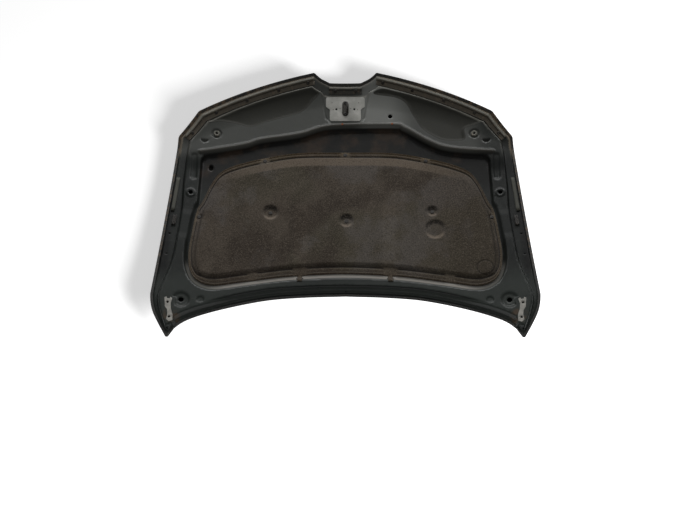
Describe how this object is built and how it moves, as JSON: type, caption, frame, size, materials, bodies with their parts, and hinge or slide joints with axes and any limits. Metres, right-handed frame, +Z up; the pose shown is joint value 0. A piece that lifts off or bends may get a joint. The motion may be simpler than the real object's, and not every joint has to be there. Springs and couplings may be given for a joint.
{
  "type": "car bonnet",
  "caption": "Pressed steel car bonnet lying on its outer skin: hemmed inner frame, felt liner, edge seals, latch striker and hinge pads.",
  "frame": {"origin": "middle of the bounding box in plan, at the height of the outer skin's lowest point", "axes": "+X across the bonnet, to the right in the picture; +Y towards the bonnet's front edge, where the latch is; +Z up, away from the floor, out of the bonnet's underside"},
  "size_m": [1.4232, 1.1657, 0.1135],
  "materials": {
    "skin_paint": "dark grey paint, half gloss, with dust",
    "panel_paint": "dark grey base coat, duller than the outer side",
    "felt": "pressed brown-black felt",
    "rubber": "matt black foam rubber",
    "clip_plastic": "black moulded plastic",
    "primer": "light grey coat on the reinforcement plates",
    "zinc": "dull plated steel",
    "rust": "rust stained caps"
  },
  "bodies": {
    "root": {"buffer_bush_left": "rubber", "buffer_bush_right": "rubber", "front_seal_centre": "rubber", "front_seal_left": "rubber", "front_seal_right": "rubber", "hinge_nut_left_front": "zinc", "hinge_nut_left_rear": "zinc", "hinge_nut_right_front": "zinc", "hinge_nut_right_rear": "zinc", "hinge_plate_left": "primer", "hinge_plate_right": "primer", "inner_panel": "panel_paint", "latch_plate": "primer", "liner": "felt", "liner_clip_dimple_centre": "clip_plastic", "liner_clip_dimple_left": "clip_plastic", "liner_clip_dimple_right": "clip_plastic", "liner_clip_front_centre": "clip_plastic", "liner_clip_front_left": "clip_plastic", "liner_clip_front_right": "clip_plastic", "liner_clip_side_left": "clip_plastic", "liner_clip_side_right": "clip_plastic", "outer_skin": "skin_paint", "ridge_plug_left": "rust", "ridge_plug_right": "rust", "seal_clip_centre_1": "clip_plastic", "seal_clip_centre_2": "clip_plastic", "seal_clip_left_1": "clip_plastic", "seal_clip_left_2": "clip_plastic", "seal_clip_left_3": "clip_plastic", "seal_clip_left_4": "clip_plastic", "seal_clip_left_5": "clip_plastic", "seal_clip_right_1": "clip_plastic", "seal_clip_right_2": "clip_plastic", "seal_clip_right_3": "clip_plastic", "seal_clip_right_4": "clip_plastic", "seal_clip_right_5": "clip_plastic", "side_clip_left": "clip_plastic", "side_clip_right": "clip_plastic", "side_seal_left": "rubber", "side_seal_right": "rubber", "striker_base": "zinc", "striker_loop": "zinc", "striker_rivet_front": "zinc", "striker_rivet_rear": "zinc"}
  },
  "joints": []
}
